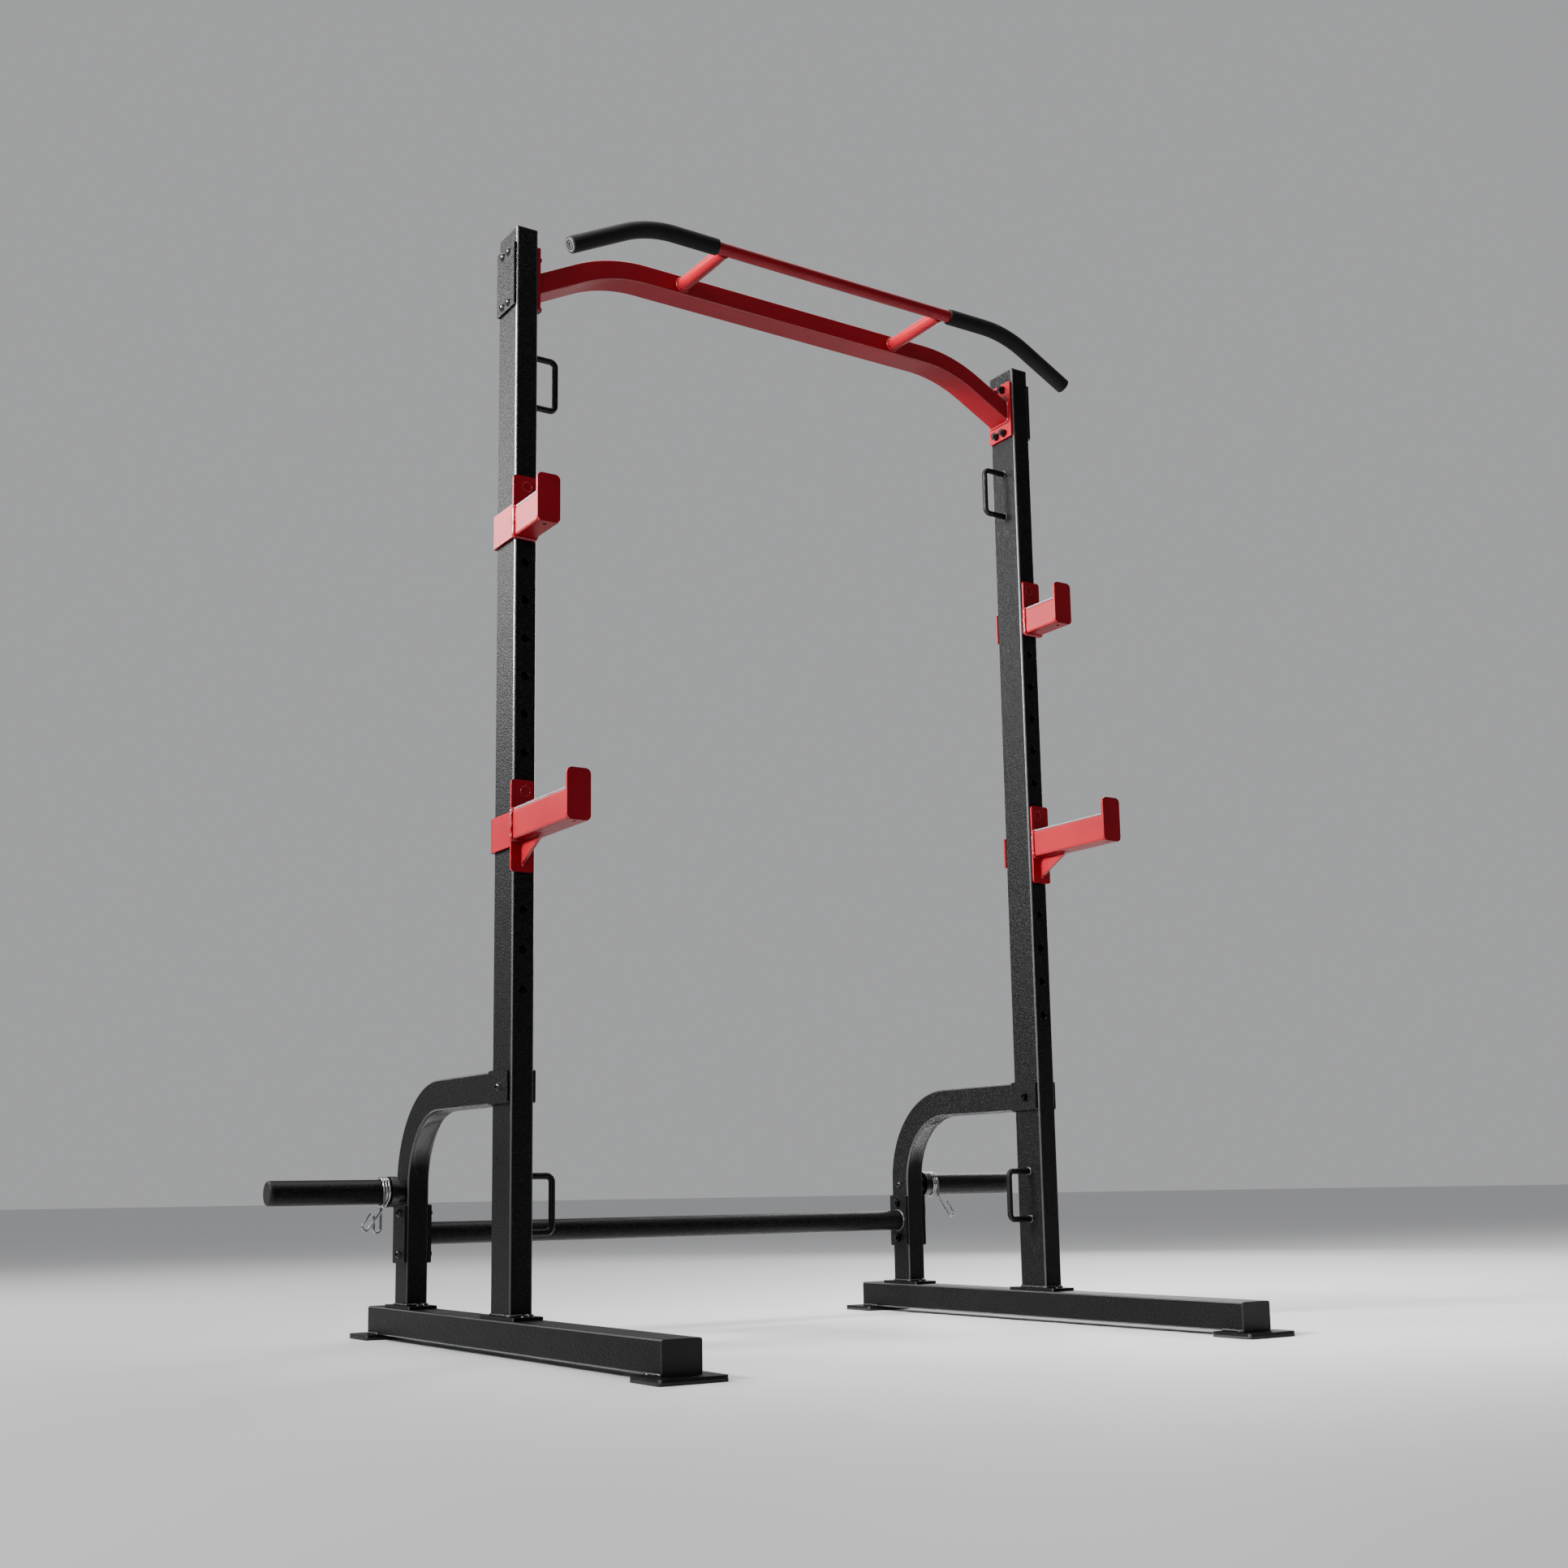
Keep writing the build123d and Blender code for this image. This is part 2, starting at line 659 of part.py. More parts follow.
with BuildLine() as wire_path:
    add(inner_leg.line)
    add(winding.line)
    add(outer_leg.line)
wire = wire_path.wires()[0]

with BuildPart() as spring_collar:
    with BuildSketch(Plane(origin=wire @ 0, z_dir=wire % 0)):
        Circle(wire_diameter / 2)
    sweep(path=wire)
save_pair(spring_collar, "spring_collar")

samples = 900
step = wire.length / samples
spots = [wire.position_at(i / samples) for i in range(samples + 1)]
apart = int(2.5 * wire_diameter / step)
least = min((spots[i] - spots[j]).length for i in range(samples + 1) for j in range(i + apart, samples + 1))
print(f"spring collar wire: length {wire.length:.1f}, least gap to itself {least - wire_diameter:.2f}")


def hook_in(pin_z, plate_fall, wrap_fall, arm_fall, arm_length, pin_back_y):
    """A cup or spotter body at +X, hung from its pin. The wrap is open on the inner side."""
    outer_x = upright_outer_x + hook_gap + hook_plate
    inner_x = upright_inner_x + hook_inner_inset
    middle_x, width = (inner_x + outer_x) / 2, outer_x - inner_x
    arm_width = width - 2 * hook_arm_inset
    plate_back = upright_front - hook_gap
    plate_front = plate_back - hook_plate
    arm_bottom = pin_z - arm_fall
    plate_top, plate_bottom = pin_z + hook_plate_rise, pin_z - plate_fall
    with BuildSketch(Plane.XZ.offset(-plate_back)) as front_plate:
        with Locations((middle_x, (plate_top + plate_bottom) / 2)):
            RectangleRounded(width, plate_top - plate_bottom, hook_corner)
    extrude(front_plate.sketch, amount=hook_plate)
    wrap_back = upright_back + hook_gap + hook_plate
    with BuildSketch(Plane.XY.offset(pin_z - wrap_fall)) as wrap:
        with BuildLine():
            Polyline(
                (outer_x, plate_back),
                (outer_x, wrap_back),
                (upright_inner_x, wrap_back),
                (upright_inner_x, wrap_back - hook_plate),
                (outer_x - hook_plate, wrap_back - hook_plate),
                (outer_x - hook_plate, plate_back),
                close=True,
            )
        make_face()
        fillet(wrap.vertices().sort_by_distance((outer_x, wrap_back, 0))[0], hook_wrap_rounding)
    extrude(wrap.sketch, amount=hook_wrap_height)
    with BuildSketch(Plane.XZ.offset(-plate_front)) as arm:
        with Locations((middle_x, arm_bottom + hook_arm_height / 2)):
            RectangleRounded(arm_width, hook_arm_height, hook_arm_corner)
            Rectangle(arm_width - 2 * hook_arm_wall, hook_arm_height - 2 * hook_arm_wall, mode=Mode.SUBTRACT)
    extrude(arm.sketch, amount=arm_length)
    with BuildSketch(Plane.XZ.offset(arm_length - plate_front)) as lip:
        with Locations((middle_x, arm_bottom - hook_arm_inset + hook_lip_height / 2)):
            RectangleRounded(width, hook_lip_height, hook_lip_corner)
    extrude(lip.sketch, amount=hook_lip_thickness)
    with BuildSketch(Plane.XY.offset(arm_bottom)) as drain:
        with Locations((middle_x, plate_front - arm_length + hook_drain_inset)):
            Circle(hook_drain_diameter / 2)
    extrude(drain.sketch, amount=hook_arm_wall, mode=Mode.SUBTRACT)
    with BuildSketch(Plane.XZ.offset(-plate_back)) as pin:
        with Locations((upright_x, pin_z)):
            Circle(hole_diameter / 2 - pin_clearance)
    extrude(pin.sketch, amount=plate_back - pin_back_y)


def arm_liner(pin_z, arm_fall, arm_length):
    """The plastic strip that lies on the arm between the front plate and the lip."""
    front = upright_front - hook_gap - hook_plate
    top = pin_z - arm_fall + hook_arm_height
    x_span = (upright_inner_x + hook_inner_inset + liner_inset, upright_outer_x + hook_gap + hook_plate - liner_inset)
    slab(x_span, (front - arm_length + liner_clearance, front - liner_clearance), (top, top + liner_thickness))


# Bar cups in the top holes
cup_pin_z = hole_heights[-1]
with BuildPart() as j_cup:
    cup_pin_back = upright_front - hook_gap + cup_pin_length
    hook_in(cup_pin_z, cup_plate_fall, cup_wrap_fall, cup_arm_fall, cup_arm_length, cup_pin_back)
save_pair(j_cup, "j_cup")

with BuildPart() as j_cup_liner:
    arm_liner(cup_pin_z, cup_arm_fall, cup_arm_length)
save_pair(j_cup_liner, "j_cup_liner")

# Spotter arms, set one hole apart, with a gusset under each arm
for side, hole in (("right", right_spotter_hole_count), ("left", left_spotter_hole_count)):
    pin_z = hole_heights[hole]
    plane = Plane.YZ.offset(upright_x + (hook_gap + hook_plate + hook_inner_inset) / 2)
    front = upright_front - hook_gap - hook_plate
    under = pin_z - spotter_arm_fall
    with BuildPart() as spotter:
        spotter_pin_back = upright_back + spotter_pin_tail
        hook_in(
            pin_z, spotter_plate_fall, spotter_wrap_fall, spotter_arm_fall, spotter_arm_length, spotter_pin_back
        )
        with BuildSketch(plane):
            with BuildLine():
                Polyline((front, under), (front - gusset_length, under), (front, under - gusset_height), close=True)
            make_face()
        extrude(amount=gusset_thickness / 2, both=True)
        if side == "left":
            mirror(about=Plane.YZ, mode=Mode.REPLACE)
    save(spotter, f"spotter_{side}")

    with BuildPart() as spotter_liner:
        arm_liner(pin_z, spotter_arm_fall, spotter_arm_length)
        if side == "left":
            mirror(about=Plane.YZ, mode=Mode.REPLACE)
    save(spotter_liner, f"spotter_liner_{side}")

# Bolts: heads outside and nuts inside at the crossbar and the forks, heads up on the footings
with BuildPart() as upper_bolts:
    inward = (-1, 0, 0)
    clamp_grip = clamp_backing_thickness + upright_width + clamp_thickness
    for y, z in bolt_points:
        bolt((upright_outer_x + clamp_backing_thickness, y, z), inward, clamp_grip)
    bolt((upright_x + fork_half, 0, brace_height), inward, 2 * fork_half)
save_pair(upper_bolts, "upper_bolts")

with BuildPart() as lower_bolts:
    down = (0, 0, -1)
    for centre, bolt_y in ((0, upright_footing_bolt), (rear_offset, rear_footing_bolt)):
        for y in (centre - bolt_y, centre + bolt_y):
            bolt((upright_x, y, upright_bottom), down, footing_thickness + base_wall)
    low_grip = low_backing_thickness + brace_width + low_plate_thickness
    for z in low_bolt_heights:
        bolt((brace_outer_x + low_backing_thickness, rear_offset, z), inward, low_grip)
    bolt((brace_inner_x, rear_offset, post_height), (1, 0, 0), brace_width + post_bolt_depth, nut=False, tail=0)
save_pair(lower_bolts, "lower_bolts")
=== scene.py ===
"""Looks of the squat rack round its CAD model: finishes, grips, plugs, weld beads, floor, light and camera.

Metres, +Z up, in the CAD model's frame. Pieces are made for the right side, +X, and mirrored.
"""
import json
from math import cos, pi, radians, sin, tau

import bmesh
import bpy
from mathutils import Matrix, Vector


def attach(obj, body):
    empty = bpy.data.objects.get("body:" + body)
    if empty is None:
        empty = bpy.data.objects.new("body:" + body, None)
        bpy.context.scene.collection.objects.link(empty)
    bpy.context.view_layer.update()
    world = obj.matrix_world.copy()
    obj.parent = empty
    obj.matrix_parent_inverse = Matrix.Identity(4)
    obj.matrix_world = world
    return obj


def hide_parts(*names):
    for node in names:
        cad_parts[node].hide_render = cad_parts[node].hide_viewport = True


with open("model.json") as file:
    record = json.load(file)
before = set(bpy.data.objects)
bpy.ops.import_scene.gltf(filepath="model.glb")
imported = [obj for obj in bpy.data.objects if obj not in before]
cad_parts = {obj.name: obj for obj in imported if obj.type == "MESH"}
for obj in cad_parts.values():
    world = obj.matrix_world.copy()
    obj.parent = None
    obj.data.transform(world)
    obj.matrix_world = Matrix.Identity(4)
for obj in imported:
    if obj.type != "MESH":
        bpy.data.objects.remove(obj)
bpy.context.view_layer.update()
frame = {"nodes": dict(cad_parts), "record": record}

# Places and sizes that the pieces take from the CAD model
upright_x, upright_width, upright_depth = 0.610, 0.045, 0.080
brace_y, brace_depth = 0.4625, 0.060
fork_y, fork_z = 0.0468, 0.470
square_tube_corner = 0.005
footing_top = 0.070
foot_seam_side, foot_seam_ends, foot_seam_z = 0.0335, (0.548, 0.594), 0.0108
handle_rod, handle_heights = 0.0125, (1.765, 1.865, 0.212, 0.312)
end_plate_x = 0.5812
cross_tube_z, cross_tube_across = 0.2075, 0.044
crossbar_z, crossbar_height, crossbar_depth, crossbar_corner = 2.003, 0.0451, 0.060, 0.004
stub_x, stub_foot_y, stub_across = 0.262, -0.0302, 0.028

# Pull-up bar, foam grip and end plug
bar_y, bar_z, bar_radius = -0.197, 2.085, 0.0125
bar_bend_start, bar_bend_radius, bar_bend, bar_tail = 0.378, 0.240, radians(27), 0.123
grip_start, grip_radius, grip_bore, grip_rounding = 0.282, 0.016, 0.01265, 0.003
plug_flange, plug_gap, plug_wall = 0.003, 0.0004, 0.0026
tail_way = Vector((cos(bar_bend), 0, -sin(bar_bend)))
bend_centre = Vector((bar_bend_start, bar_y, bar_z - bar_bend_radius))
bend_end = bend_centre + bar_bend_radius * Vector((sin(bar_bend), 0, cos(bar_bend)))
bar_end = bend_end + bar_tail * tail_way

# Cups and spotters. An arm's fall is from the pin's middle down to the arm's underside
cup_pin_z, cup_arm_fall = 1.583, 0.100
spotter_pin_z, spotter_arm_fall = {"right": 1.0755, "left": 1.003}, 0.092
hook_middle_x, hook_plate_front = 0.6154, -0.0458
hook_arm_middle, hook_arm_width, hook_arm_height, hook_arm_corner = 0.0275, 0.0444, 0.0558, 0.004
hook_pin_across = 0.019
gusset_half_width, gusset_ends, gusset_drop = 0.0036, (0.006, 0.080), 0.040


class Signal:
    """A socket inside a node tree. Plain maths on it adds Math nodes."""

    def __init__(self, nodes, socket):
        self.nodes, self.socket = nodes, socket

    def maths(self, operation, first, second):
        return self.nodes.node("ShaderNodeMath", {"operation": operation}, {0: first, 1: second})

    def __add__(self, other):
        return self.maths("ADD", self, other)

    def __sub__(self, other):
        return self.maths("SUBTRACT", self, other)

    def __rsub__(self, other):
        return self.maths("SUBTRACT", other, self)

    def __mul__(self, other):
        return self.maths("MULTIPLY", self, other)

    def __pow__(self, other):
        return self.maths("POWER", self, other)

    def __abs__(self):
        return self.maths("ABSOLUTE", self, 0)

    def most(self, other):
        return self.maths("MAXIMUM", self, other)

    __radd__, __rmul__ = __add__, __mul__


class Nodes:
    """An emptied node tree and the one method that makes its nodes."""

    def __init__(self, tree):
        self.tree = tree
        tree.nodes.clear()

    def node(self, kind, settings=None, sockets=None, out=0):
        """Makes a node: its settings first, then the values or links of its sockets."""
        made = self.tree.nodes.new(kind)
        for name, value in (settings or {}).items():
            if name == "stops":
                for stop, (position, colour) in zip(made.color_ramp.elements, value):
                    stop.position, stop.color = position, colour
            else:
                setattr(made, name, value)
        for name, value in (sockets or {}).items():
            if isinstance(value, Signal):
                self.tree.links.new(value.socket, made.inputs[name])
            else:
                made.inputs[name].default_value = value
        return Signal(self, made.outputs[out]) if made.outputs else None

    def parts(self, vector):
        """The three parts of a vector."""
        split = self.node("ShaderNodeSeparateXYZ", None, {0: vector})
        return [Signal(self, out) for out in split.socket.node.outputs]


class Finish(Nodes):
    """One procedural finish: a material, its nodes and its shader."""

    def __init__(self, name):
        self.material = bpy.data.materials.new(name)
        self.material.use_nodes = True
        super().__init__(self.material.node_tree)
        self.place = self.node("ShaderNodeTexCoord", out="Object")

    def noise(self, scale, detail, stretch=None):
        place = self.place
        if stretch:
            place = self.node("ShaderNodeMapping", None, {"Vector": place, "Scale": stretch})
        return self.node("ShaderNodeTexNoise", None, {"Vector": place, "Scale": scale, "Detail": detail})

    def cells(self, scale):
        return self.node("ShaderNodeTexVoronoi", None, {"Vector": self.place, "Scale": scale})

    def between(self, level, low, high):
        """A ramp from black to white between two levels of a signal."""
        stops = [(low, (0, 0, 0, 1)), (high, (1, 1, 1, 1))]
        return self.node("ShaderNodeValToRGB", {"stops": stops}, {"Fac": level})

    def blend(self, share, first, second):
        """A colour between two colours."""
        first, second = (c if isinstance(c, Signal) else (*c, 1) for c in (first, second))
        return self.node("ShaderNodeMix", {"data_type": "RGBA"}, {0: share, 6: first, 7: second}, out=2)

    def edges(self, bent=False):
        """1 on rounded edges, 0 on flat faces.

        A tube that is bent in the plane of X and Z also has 0 on its curved top and bottom.
        """
        x, y, z = (abs(part) for part in self.parts(self.node("ShaderNodeTexCoord", out="Normal")))
        flat = y.most((1 - y * y) ** 0.5) if bent else x.most(y).most(z)
        return self.between(1 - flat, 0.03, 0.16)

    def bump(self, height, strength, distance):
        sockets = {"Height": height, "Strength": strength, "Distance": distance}
        return self.node("ShaderNodeBump", None, sockets)

    def shade(self, **sockets):
        """Closes the finish with its shader. Socket names have _ for spaces."""
        named = {name.replace("_", " "): value for name, value in sockets.items()}
        shader = self.node("ShaderNodeBsdfPrincipled", None, named)
        self.node("ShaderNodeOutputMaterial", None, {"Surface": shader})
        return self.material


def black_powder(name, edge_gloss):
    """Fine-textured satin powder coat. Edge gloss sets how much glossier the edges of square tubes and
    plates are, and how strongly a painted highlight lightens their colour.
    """
    coat = Finish(name)
    grain = coat.noise(280, 3)
    mottle = coat.noise(14, 2)
    speck = coat.between(grain, 0.48, 0.68)
    edge_highlight_and_gloss = edge_gloss * coat.edges()
    body = coat.blend(speck, (0.0027, 0.0027, 0.0029), (0.0112, 0.0112, 0.0118))
    return coat.shade(
        # Rounded edges: a painted highlight lightens their colour, and their coat is glossier
        Base_Color=coat.blend(0.8 * edge_highlight_and_gloss, body, (0.065, 0.065, 0.068)),
        Roughness=0.27 + 0.16 * grain + 0.06 * mottle,
        Normal=coat.bump(grain, 0.8, 0.0018),
        Specular_IOR_Level=0.08,
        Coat_Weight=0.95 * edge_highlight_and_gloss,
        Coat_Roughness=0.17,
    )


def red_paint(name, edge_gloss, bent=False):
    """Satin red paint with a slight orange peel, glossier on the edges."""
    paint = Finish(name)
    peel = paint.noise(330, 2)
    cloud = paint.between(paint.noise(9, 2), 0.3, 0.7)
    return paint.shade(
        Base_Color=paint.blend(cloud, (0.165, 0.0016, 0.0060), (0.205, 0.0026, 0.0080)),
        Roughness=0.34 + 0.14 * peel,
        Normal=paint.bump(peel, 0.12, 0.0004),
        Specular_IOR_Level=0.12,
        Coat_Weight=0.05 + 0.7 * edge_gloss * paint.edges(bent),
        Coat_Roughness=0.20,
    )


def grip_foam():
    """Closed-cell black foam."""
    foam = Finish("grip_foam")
    pores = foam.cells(850)
    drift = foam.noise(26, 2)
    return foam.shade(
        Base_Color=foam.blend(drift, (0.0032, 0.0032, 0.0034), (0.0075, 0.0075, 0.0078)),
        Roughness=0.66 + 0.16 * drift,
        Normal=foam.bump(pores, 0.22, 0.0004),
        Specular_IOR_Level=0.14,
        Sheen_Weight=0.015,
        Sheen_Roughness=0.5,
    )


def plug_plastic():
    """Dark grey plastic, with the raised rim painted lighter as a painted highlight."""
    plastic = Finish("plug_plastic")
    grain = plastic.noise(900, 2)
    x, _, z = plastic.parts(plastic.place)
    height = (abs(x) - bar_end.x) * tail_way.x + (z - bar_end.z) * tail_way.z
    # The rim is what stands 2.7 to 2.9 mm over the bar's end, and it is painted lighter as a painted
    # highlight. A ramp's stops lie between 0 and 1
    rim_highlight = plastic.between(1000 * height - 2.0, 0.7, 0.9)
    disc = plastic.blend(grain, (0.006, 0.006, 0.0065), (0.012, 0.012, 0.0125))
    return plastic.shade(
        Base_Color=plastic.blend(rim_highlight, disc, (0.052, 0.052, 0.053)),
        Roughness=0.44 + 0.1 * grain,
        Normal=plastic.bump(grain, 0.1, 0.0003),
        Specular_IOR_Level=0.2,
    )


def collar_chrome():
    """Slightly smeared chrome."""
    chrome = Finish("collar_chrome")
    smear = chrome.noise(60, 3)
    fine = chrome.noise(700, 2)
    return chrome.shade(
        Base_Color=chrome.blend(smear, (0.27, 0.272, 0.278), (0.42, 0.424, 0.43)),
        Metallic=1.0,
        Roughness=0.05 + 0.10 * smear,
        Normal=chrome.bump(fine, 0.03, 0.0002),
    )


def pad_rubber():
    """Dull, coarse rubber."""
    rubber = Finish("pad_rubber")
    grain = rubber.noise(500, 4)
    return rubber.shade(
        Base_Color=rubber.blend(grain, (0.010, 0.010, 0.010), (0.028, 0.028, 0.028)),
        Roughness=0.80 + 0.12 * grain,
        Normal=rubber.bump(grain, 0.4, 0.0006),
    )


def cap_plastic():
    """Moulded black plastic with a spark-eroded grain."""
    plastic = Finish("cap_plastic")
    grain = plastic.cells(750)
    drift = plastic.noise(40, 2)
    return plastic.shade(
        Base_Color=plastic.blend(drift, (0.004, 0.004, 0.0045), (0.010, 0.010, 0.0105)),
        Roughness=0.36 + 0.14 * drift,
        Normal=plastic.bump(grain, 0.16, 0.0004),
        Specular_IOR_Level=0.25,
    )


def bolt_black():
    """Black oxide on bolts and nuts, glossier than the coat."""
    oxide = Finish("bolt_black_oxide")
    wear = oxide.noise(240, 3)
    worn = oxide.between(wear, 0.45, 0.75)
    return oxide.shade(
        Base_Color=oxide.blend(worn, (0.003, 0.003, 0.0033), (0.009, 0.009, 0.0095)),
        Roughness=0.15 + 0.12 * wear,
        Normal=oxide.bump(wear, 0.06, 0.0003),
        Specular_IOR_Level=0.36,
    )


def liner_plastic():
    """Dark grey plastic strip with faint drawn lines."""
    plastic = Finish("liner_plastic")
    drawn = plastic.noise(420, 3, stretch=(1, 0.06, 1))
    return plastic.shade(
        Base_Color=plastic.blend(drawn, (0.070, 0.071, 0.076), (0.130, 0.131, 0.138)),
        Roughness=0.42 + 0.16 * drawn,
        Normal=plastic.bump(drawn, 0.15, 0.0003),
    )


def floor_paint():
    """Pale, plain floor."""
    pale = Finish("pale_floor")
    dust = pale.noise(1.4, 4)
    return pale.shade(
        Base_Color=pale.blend(dust, (0.84, 0.84, 0.845), (0.88, 0.88, 0.885)),
        Roughness=0.62 + 0.1 * dust,
    )


finishes = {
    "black_powder": black_powder("black_powder_coat", 1.0),
    "red_paint": red_paint("satin_red_paint", 1.0),
    "foam": grip_foam(),
    "plug": plug_plastic(),
    "chrome": collar_chrome(),
    "rubber": pad_rubber(),
    "black_plastic": cap_plastic(),
    "bolt_black": bolt_black(),
    "liner": liner_plastic(),
}

# Round bars would read as edge all over, so they take little edge gloss and painted edge highlight, and the
# crossbar's bends aren't edges
round_bars = ("weight_post", "lower_cross_tube", "band_handle", "pull_up_bar", "bar_stub")
round_finishes = {
    "black_powder": black_powder("black_powder_coat_round", 0.12),
    "red_paint": red_paint("satin_red_paint_round", 0.12),
}
crossbar_paint = red_paint("satin_red_paint_bent", 1.0, bent=True)
for part in frame["record"]["subparts"]:
    node, slot = part["node"], part["material_slot"]
    finish = (round_finishes if node.startswith(round_bars) else finishes)[slot]
    materials = frame["nodes"][node].data.materials
    materials.clear()
    materials.append(crossbar_paint if node == "crossbar" else finish)


def edit(on=True):
    bpy.ops.object.mode_set(mode="EDIT" if on else "OBJECT")


def clear_hand():
    bpy.ops.object.select_all(action="DESELECT")


def take(pieces):
    """Takes pieces in hand: selects them, with the first one active."""
    clear_hand()
    for piece in pieces:
        piece.select_set(True)
    bpy.context.view_layer.objects.active = pieces[0]


def pick(kind, test):
    """Selects the vertices or edges of the piece in hand that pass a test."""
    bpy.ops.mesh.select_mode(type={"verts": "VERT", "edges": "EDGE"}[kind])
    bpy.ops.mesh.select_all(action="DESELECT")
    data = bpy.context.object.data
    mesh = bmesh.from_edit_mesh(data)
    for item in getattr(mesh, kind):
        item.select_set(bool(test(item)))
    mesh.select_flush_mode()
    bmesh.update_edit_mesh(data)


def extrude(shift):
    bpy.ops.mesh.extrude_region_move(TRANSFORM_OT_translate={"value": tuple(shift)})


def place_in_mesh():
    bpy.ops.object.transform_apply(location=True, rotation=True, scale=True)


def disc_in_hand(radius, place, lean):
    """Adds a disc that looks along the bar, in edit mode with its face selected."""
    clear_hand()
    bpy.ops.mesh.primitive_circle_add(
        vertices=48, radius=radius, fill_type="NGON", location=place, rotation=(0, pi / 2 + lean, 0)
    )
    place_in_mesh()
    edit()
    bpy.ops.mesh.select_mode(type="FACE")
    bpy.ops.mesh.select_all(action="SELECT")


def settle(piece, name, body, slot, angle):
    """Finishes a piece in place: normals, smooth shading up to an angle, the finish of its slot, and body.
    """
    take([piece])
    edit()
    bpy.ops.mesh.select_all(action="SELECT")
    bpy.ops.mesh.normals_make_consistent(inside=False)
    edit(False)
    bpy.ops.object.shade_smooth_by_angle(angle=radians(angle))
    piece.name = piece.data.name = name
    piece.data.materials.clear()
    piece.data.materials.append(finishes[slot])
    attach(piece, body)
    return piece


def mirror(mesh):
    """Turns a mesh of the right side into one of the left side."""
    mesh.transform(Matrix.Scale(-1, 4, (1, 0, 0)))
    mesh.flip_normals()


def other_side(piece):
    """A mirrored copy of a piece."""
    twin = piece.copy()
    twin.data = piece.data.copy()
    bpy.context.scene.collection.objects.link(twin)
    mirror(twin.data)
    return twin


# Foam grips: a ring of foam swept along the bar's bent end, with rounded ends
grip_runs, grip_bend_steps = 4, 12
near, rim_band = 1e-5, 5e-4


def off_bar(point):
    """How far a point lies from the bar's centre line at the grip's two ends."""
    if point.x < bar_bend_start:
        return (Vector((point.x, bar_y, bar_z)) - point).length
    along = (point - bend_end).dot(tail_way)
    return (point - bend_end - along * tail_way).length


def foam_grip():
    disc_in_hand(grip_radius, (grip_start, bar_y, bar_z), 0)
    bpy.ops.mesh.inset(thickness=grip_radius - grip_bore)
    bpy.ops.mesh.delete(type="FACE")
    bpy.ops.mesh.select_all(action="SELECT")
    for _ in range(grip_runs):
        extrude(((bar_bend_start - grip_start) / grip_runs, 0, 0))
    bpy.ops.mesh.spin(steps=grip_bend_steps, angle=-bar_bend, center=bend_centre, axis=(0, 1, 0))
    for _ in range(grip_runs):
        extrude((bar_tail + plug_flange) / grip_runs * tail_way)
    far = (bar_end + plug_flange * tail_way).dot(tail_way)

    def on_rim(edge_highlight_and_gloss):
        a, b = (v.co for v in edge_highlight_and_gloss.verts)
        at_start = max(abs(a.x - grip_start), abs(b.x - grip_start)) < near
        at_end = min(a.dot(tail_way), b.dot(tail_way)) > far - near
        outside = min(off_bar(a), off_bar(b)) > grip_radius - rim_band
        return (at_start or at_end) and outside

    pick("edges", on_rim)
    bpy.ops.mesh.bevel(offset=grip_rounding, segments=4)
    edit(False)
    return bpy.context.object


grip_right = foam_grip()
for side, grip in (("right", grip_right), ("left", other_side(grip_right))):
    settle(grip, f"foam_grip_{side}", "frame", "foam", angle=35)
    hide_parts(f"grip_{side}")


# End plugs: a stepped disc in each end of the pull-up bar
plug_steps = (  # inset and rise of each step, from the rim to the middle
    (0.0006, 0.0004), (0.0016, 0.0), (0.0001, -0.0024), (0.0020, 0.0),
    (0.0001, 0.0020), (0.0026, 0.0), (0.0004, -0.0012),
)


def end_plug():
    disc_in_hand(bar_radius - plug_gap, bar_end, bar_bend)
    extrude(plug_wall * tail_way)
    for inset, rise in plug_steps:
        bpy.ops.mesh.inset(thickness=inset)
        bpy.ops.transform.translate(value=tuple(rise * tail_way))
    edit(False)
    return bpy.context.object


plug_right = end_plug()
for side, plug in (("right", plug_right), ("left", other_side(plug_right))):
    settle(plug, f"end_plug_{side}", "frame", "plug", angle=20)
    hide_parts("bar_plugs")


# Weld beads. A bead's size is the radius of the laid metal, and a lift is how far it stands off its plate
foot_bead, foot_plate_bead, frame_bead, crossbar_bead, stub_bead = 0.0034, 0.0040, 0.0030, 0.0028, 0.0026
arm_bead, pin_bead, gusset_bead, gusset_tip_bead, gusset_tip_run = 0.0047, 0.0010, 0.0020, 0.0034, 0.004
foot_lift, arm_lift, pin_lift, gusset_lift, gusset_tip_lift = 0.0008, 0.0006, -0.0004, 0.0004, 0.001
bead_step, bead_sides, bead_smooth, bead_roughness = 0.0028, 8, 60, 0.72
bead_turns = {"x": (0, pi / 2, 0), "y": (pi / 2, 0, 0), "z": (0, 0, 0)}
bead_ripple = bpy.data.textures.new("bead_ripple", "CLOUDS")
bead_ripple.noise_scale, bead_ripple.noise_depth = 0.0042, 1


def rippled(piece, bead):
    """Roughens the bead in hand as laid weld metal."""
    ripple = piece.modifiers.new("ripple", "DISPLACE")
    ripple.texture, ripple.texture_coords = bead_ripple, "LOCAL"
    ripple.strength, ripple.mid_level = bead_roughness * bead, 0.5
    bpy.ops.object.modifier_apply(modifier=ripple.name)
    return piece


